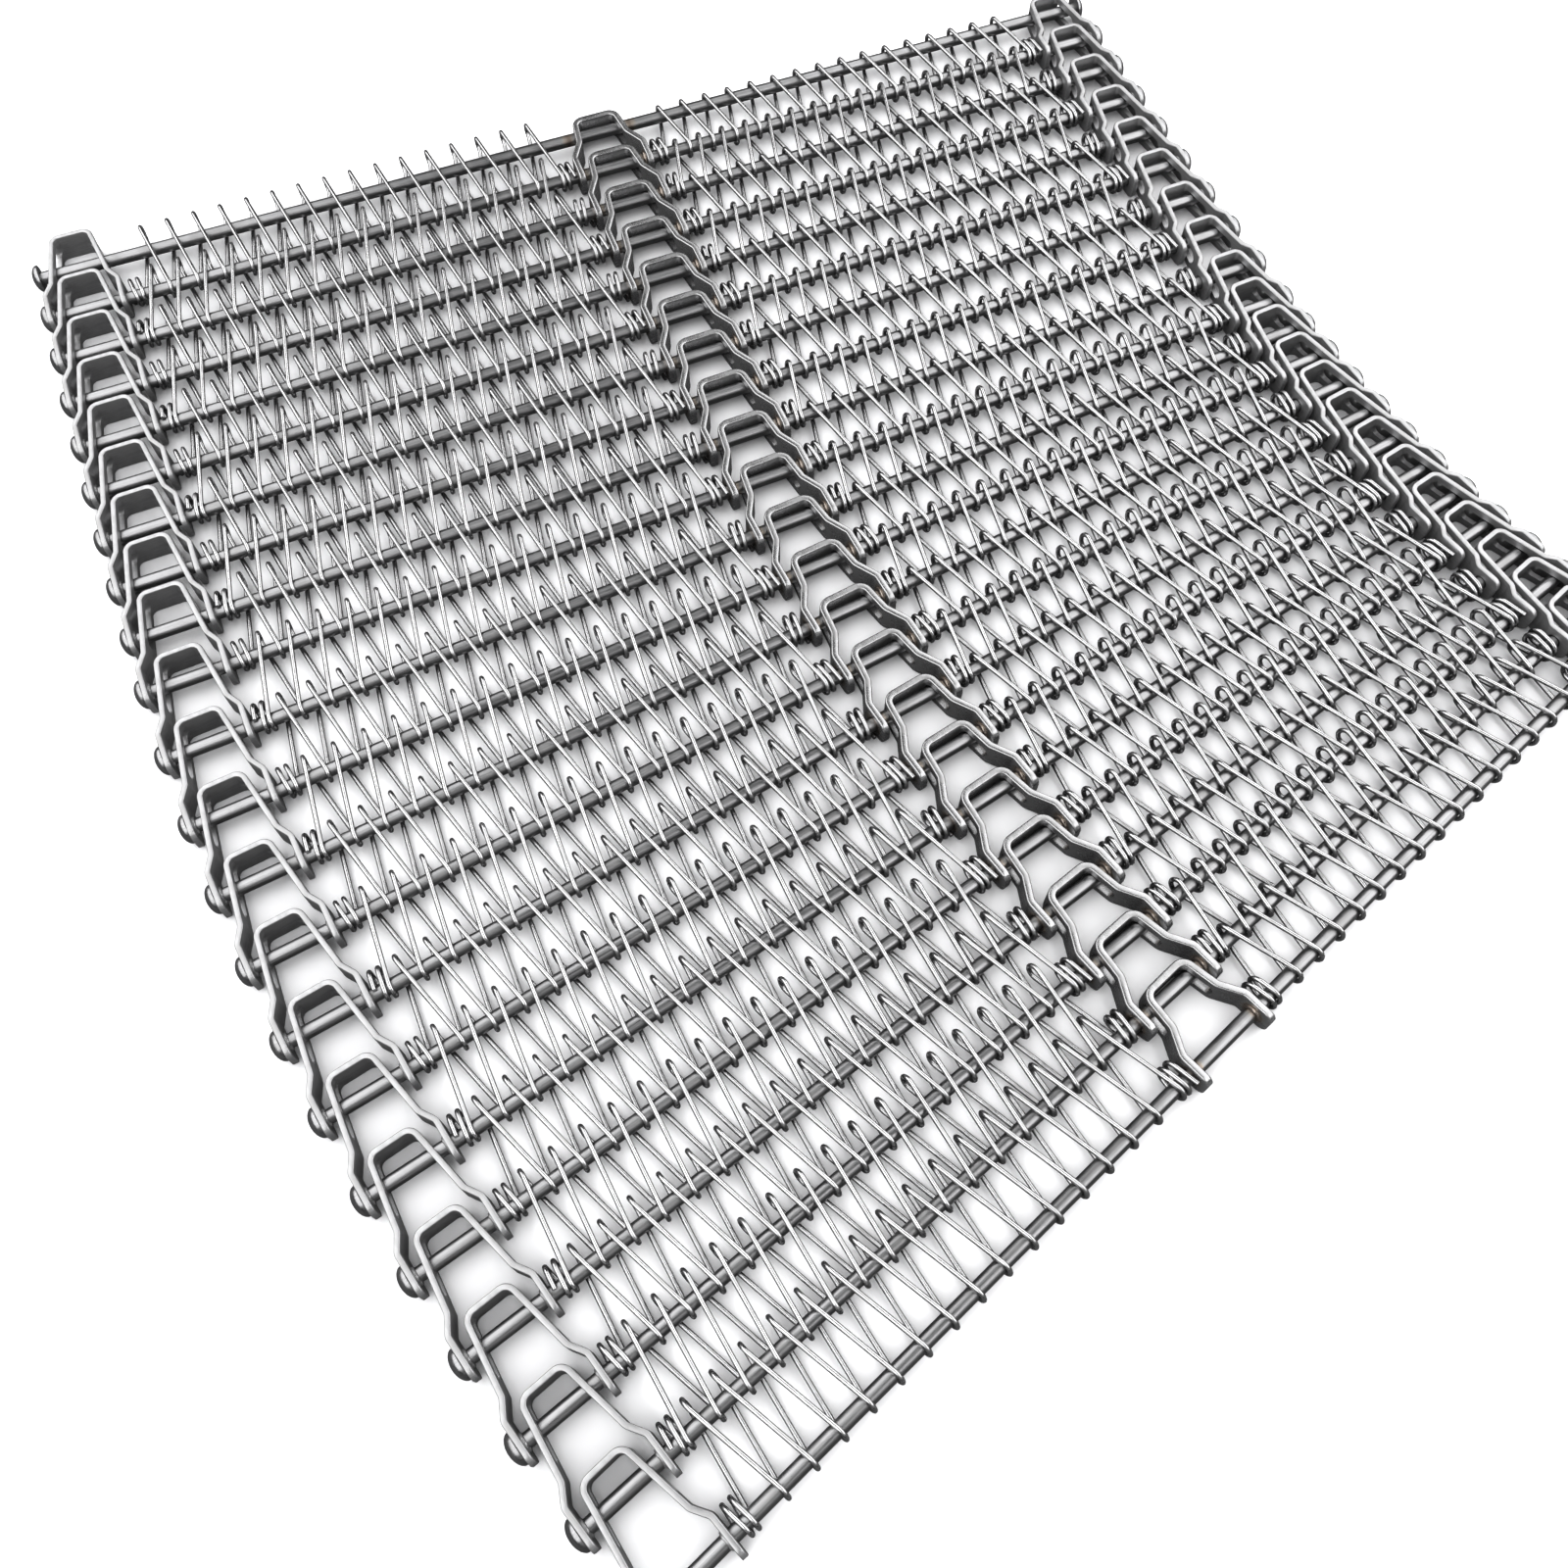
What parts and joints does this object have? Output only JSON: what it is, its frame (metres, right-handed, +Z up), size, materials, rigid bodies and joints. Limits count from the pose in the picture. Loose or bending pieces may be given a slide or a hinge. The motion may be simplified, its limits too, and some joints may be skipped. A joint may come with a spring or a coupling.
{
  "type": "spiral conveyor belt",
  "caption": "Short length of curved grid conveyor belt: round cross rods, bent strip links at both edges and the middle, and flat wire spirals between them.",
  "frame": {"origin": "centre of the box round the belt, on the floor it lies on", "axes": "+X across the belt towards the inner edge of its curve, +Y towards its back rod, +Z up"},
  "size_m": [0.6358, 0.69, 0.014],
  "materials": {
    "strip_steel": "bright rolled stainless strip",
    "rod_steel": "bright drawn stainless bar",
    "wire_steel": "bright drawn stainless wire"
  },
  "bodies": {
    "back_row": {"back_row": "strip_steel"},
    "rod_02": {"cross_rod_02": "rod_steel"},
    "row_02": {"link_row_02": "strip_steel", "spiral_pair_02": "wire_steel"},
    "rod_03": {"cross_rod_03": "rod_steel"},
    "row_03": {"link_row_03": "strip_steel", "spiral_pair_03": "wire_steel"},
    "rod_04": {"cross_rod_04": "rod_steel"},
    "row_04": {"link_row_04": "strip_steel", "spiral_pair_04": "wire_steel"},
    "rod_05": {"cross_rod_05": "rod_steel"},
    "row_05": {"link_row_05": "strip_steel", "spiral_pair_05": "wire_steel"},
    "rod_06": {"cross_rod_06": "rod_steel"},
    "row_06": {"link_row_06": "strip_steel", "spiral_pair_06": "wire_steel"},
    "rod_07": {"cross_rod_07": "rod_steel"},
    "row_07": {"link_row_07": "strip_steel", "spiral_pair_07": "wire_steel"},
    "rod_08": {"cross_rod_08": "rod_steel"},
    "row_08": {"link_row_08": "strip_steel", "spiral_pair_08": "wire_steel"},
    "rod_09": {"cross_rod_09": "rod_steel"},
    "row_09": {"link_row_09": "strip_steel", "spiral_pair_09": "wire_steel"},
    "rod_10": {"cross_rod_10": "rod_steel"},
    "row_10": {"link_row_10": "strip_steel", "spiral_pair_10": "wire_steel"},
    "rod_11": {"cross_rod_11": "rod_steel"},
    "row_11": {"link_row_11": "strip_steel", "spiral_pair_11": "wire_steel"},
    "rod_12": {"cross_rod_12": "rod_steel"},
    "row_12": {"link_row_12": "strip_steel", "spiral_pair_12": "wire_steel"},
    "rod_13": {"cross_rod_13": "rod_steel"},
    "row_13": {"link_row_13": "strip_steel", "spiral_pair_13": "wire_steel"},
    "rod_14": {"cross_rod_14": "rod_steel"},
    "row_14": {"link_row_14": "strip_steel", "spiral_pair_14": "wire_steel"},
    "rod_15": {"cross_rod_15": "rod_steel"},
    "row_15": {"link_row_15": "strip_steel", "spiral_pair_15": "wire_steel"},
    "rod_16": {"cross_rod_16": "rod_steel"},
    "row_16": {"link_row_16": "strip_steel", "spiral_pair_16": "wire_steel"},
    "rod_17": {"cross_rod_17": "rod_steel"},
    "row_17": {"link_row_17": "strip_steel", "spiral_pair_17": "wire_steel"},
    "rod_18": {"cross_rod_18": "rod_steel"},
    "row_18": {"link_row_18": "strip_steel", "spiral_pair_18": "wire_steel"},
    "rod_19": {"cross_rod_19": "rod_steel"},
    "row_19": {"link_row_19": "strip_steel", "spiral_pair_19": "wire_steel"},
    "rod_20": {"cross_rod_20": "rod_steel"},
    "row_20": {"link_row_20": "strip_steel", "spiral_pair_20": "wire_steel"},
    "rod_21": {"cross_rod_21": "rod_steel"},
    "front_row": {"front_row": "strip_steel"}
  },
  "joints": [
    {"name": "fold_02", "type": "hinge", "parent": "back_row", "child": "rod_02", "pos_m": [-0.02255, 0.29905, 0.007], "axis": [1, 0.0052, 0], "range_deg": [-15, 15]},
    {"name": "turn_02", "type": "hinge", "parent": "rod_02", "child": "row_02", "pos_m": [-0.02255, 0.29905, 0.007], "axis": [0, 0, 1], "range_deg": [-0.3, 1.5]},
    {"name": "fold_03", "type": "hinge", "parent": "row_02", "child": "rod_03", "pos_m": [-0.02227, 0.27215, 0.007], "axis": [0.9999, 0.0105, 0], "range_deg": [-15, 15]},
    {"name": "turn_03", "type": "hinge", "parent": "rod_03", "child": "row_03", "pos_m": [-0.02227, 0.27215, 0.007], "axis": [0, 0, 1], "range_deg": [-0.3, 1.5]},
    {"name": "fold_04", "type": "hinge", "parent": "row_03", "child": "rod_04", "pos_m": [-0.02185, 0.24525, 0.007], "axis": [0.9999, 0.0157, 0], "range_deg": [-15, 15]},
    {"name": "turn_04", "type": "hinge", "parent": "rod_04", "child": "row_04", "pos_m": [-0.02185, 0.24525, 0.007], "axis": [0, 0, 1], "range_deg": [-0.3, 1.5]},
    {"name": "fold_05", "type": "hinge", "parent": "row_04", "child": "rod_05", "pos_m": [-0.02128, 0.21836, 0.007], "axis": [0.9998, 0.0209, 0], "range_deg": [-15, 15]},
    {"name": "turn_05", "type": "hinge", "parent": "rod_05", "child": "row_05", "pos_m": [-0.02128, 0.21836, 0.007], "axis": [0, 0, 1], "range_deg": [-0.3, 1.5]},
    {"name": "fold_06", "type": "hinge", "parent": "row_05", "child": "rod_06", "pos_m": [-0.02058, 0.19147, 0.007], "axis": [0.9997, 0.0262, 0], "range_deg": [-15, 15]},
    {"name": "turn_06", "type": "hinge", "parent": "rod_06", "child": "row_06", "pos_m": [-0.02058, 0.19147, 0.007], "axis": [0, 0, 1], "range_deg": [-0.3, 1.5]},
    {"name": "fold_07", "type": "hinge", "parent": "row_06", "child": "rod_07", "pos_m": [-0.01973, 0.16458, 0.007], "axis": [0.9995, 0.0314, 0], "range_deg": [-15, 15]},
    {"name": "turn_07", "type": "hinge", "parent": "rod_07", "child": "row_07", "pos_m": [-0.01973, 0.16458, 0.007], "axis": [0, 0, 1], "range_deg": [-0.3, 1.5]},
    {"name": "fold_08", "type": "hinge", "parent": "row_07", "child": "rod_08", "pos_m": [-0.01875, 0.1377, 0.007], "axis": [0.9993, 0.0366, 0], "range_deg": [-15, 15]},
    {"name": "turn_08", "type": "hinge", "parent": "rod_08", "child": "row_08", "pos_m": [-0.01875, 0.1377, 0.007], "axis": [0, 0, 1], "range_deg": [-0.3, 1.5]},
    {"name": "fold_09", "type": "hinge", "parent": "row_08", "child": "rod_09", "pos_m": [-0.01762, 0.11082, 0.007], "axis": [0.9991, 0.0419, 0], "range_deg": [-15, 15]},
    {"name": "turn_09", "type": "hinge", "parent": "rod_09", "child": "row_09", "pos_m": [-0.01762, 0.11082, 0.007], "axis": [0, 0, 1], "range_deg": [-0.3, 1.5]},
    {"name": "fold_10", "type": "hinge", "parent": "row_09", "child": "rod_10", "pos_m": [-0.01635, 0.08395, 0.007], "axis": [0.9989, 0.0471, 0], "range_deg": [-15, 15]},
    {"name": "turn_10", "type": "hinge", "parent": "rod_10", "child": "row_10", "pos_m": [-0.01635, 0.08395, 0.007], "axis": [0, 0, 1], "range_deg": [-1.6, 0.2]},
    {"name": "fold_11", "type": "hinge", "parent": "row_10", "child": "rod_11", "pos_m": [-0.01434, 0.05713, 0.007], "axis": [0.9972, 0.075, 0], "range_deg": [-15, 15]},
    {"name": "turn_11", "type": "hinge", "parent": "rod_11", "child": "row_11", "pos_m": [-0.01434, 0.05713, 0.007], "axis": [0, 0, 1], "range_deg": [-1.6, 0.2]},
    {"name": "fold_12", "type": "hinge", "parent": "row_11", "child": "rod_12", "pos_m": [-0.01157, 0.03037, 0.007], "axis": [0.9947, 0.1028, 0], "range_deg": [-15, 15]},
    {"name": "turn_12", "type": "hinge", "parent": "rod_12", "child": "row_12", "pos_m": [-0.01157, 0.03037, 0.007], "axis": [0, 0, 1], "range_deg": [-1.6, 0.2]},
    {"name": "fold_13", "type": "hinge", "parent": "row_12", "child": "rod_13", "pos_m": [-0.00806, 0.0037, 0.007], "axis": [0.9914, 0.1305, 0], "range_deg": [-15, 15]},
    {"name": "turn_13", "type": "hinge", "parent": "rod_13", "child": "row_13", "pos_m": [-0.00806, 0.0037, 0.007], "axis": [0, 0, 1], "range_deg": [-1.6, 0.2]},
    {"name": "fold_14", "type": "hinge", "parent": "row_13", "child": "rod_14", "pos_m": [-0.00381, -0.02286, 0.007], "axis": [0.9874, 0.1582, 0], "range_deg": [-15, 15]},
    {"name": "turn_14", "type": "hinge", "parent": "rod_14", "child": "row_14", "pos_m": [-0.00381, -0.02286, 0.007], "axis": [0, 0, 1], "range_deg": [-1.6, 0.2]},
    {"name": "fold_15", "type": "hinge", "parent": "row_14", "child": "rod_15", "pos_m": [0.00119, -0.04929, 0.007], "axis": [0.9826, 0.1857, 0], "range_deg": [-15, 15]},
    {"name": "turn_15", "type": "hinge", "parent": "rod_15", "child": "row_15", "pos_m": [0.00119, -0.04929, 0.007], "axis": [0, 0, 1], "range_deg": [-1.6, 0.2]},
    {"name": "fold_16", "type": "hinge", "parent": "row_15", "child": "rod_16", "pos_m": [0.00692, -0.07558, 0.007], "axis": [0.977, 0.213, 0], "range_deg": [-15, 15]},
    {"name": "turn_16", "type": "hinge", "parent": "rod_16", "child": "row_16", "pos_m": [0.00692, -0.07558, 0.007], "axis": [0, 0, 1], "range_deg": [-1.6, 0.2]},
    {"name": "fold_17", "type": "hinge", "parent": "row_16", "child": "rod_17", "pos_m": [0.01338, -0.10169, 0.007], "axis": [0.9707, 0.2402, 0], "range_deg": [-15, 15]},
    {"name": "turn_17", "type": "hinge", "parent": "rod_17", "child": "row_17", "pos_m": [0.01338, -0.10169, 0.007], "axis": [0, 0, 1], "range_deg": [-1.6, 0.2]},
    {"name": "fold_18", "type": "hinge", "parent": "row_17", "child": "rod_18", "pos_m": [0.02057, -0.12761, 0.007], "axis": [0.9636, 0.2672, 0], "range_deg": [-15, 15]},
    {"name": "turn_18", "type": "hinge", "parent": "rod_18", "child": "row_18", "pos_m": [0.02057, -0.12761, 0.007], "axis": [0, 0, 1], "range_deg": [-1.6, 0.2]},
    {"name": "fold_19", "type": "hinge", "parent": "row_18", "child": "rod_19", "pos_m": [0.02848, -0.15332, 0.007], "axis": [0.9558, 0.294, 0], "range_deg": [-15, 15]},
    {"name": "turn_19", "type": "hinge", "parent": "rod_19", "child": "row_19", "pos_m": [0.02848, -0.15332, 0.007], "axis": [0, 0, 1], "range_deg": [-1.6, 0.2]},
    {"name": "fold_20", "type": "hinge", "parent": "row_19", "child": "rod_20", "pos_m": [0.0371, -0.1788, 0.007], "axis": [0.9472, 0.3206, 0], "range_deg": [-15, 15]},
    {"name": "turn_20", "type": "hinge", "parent": "rod_20", "child": "row_20", "pos_m": [0.0371, -0.1788, 0.007], "axis": [0, 0, 1], "range_deg": [-1.6, 0.2]},
    {"name": "fold_21", "type": "hinge", "parent": "row_20", "child": "rod_21", "pos_m": [0.04644, -0.20403, 0.007], "axis": [0.9379, 0.3469, 0], "range_deg": [-15, 15]},
    {"name": "turn_21", "type": "hinge", "parent": "rod_21", "child": "front_row", "pos_m": [0.04644, -0.20403, 0.007], "axis": [0, 0, 1], "range_deg": [-1.6, 0.2]}
  ]
}
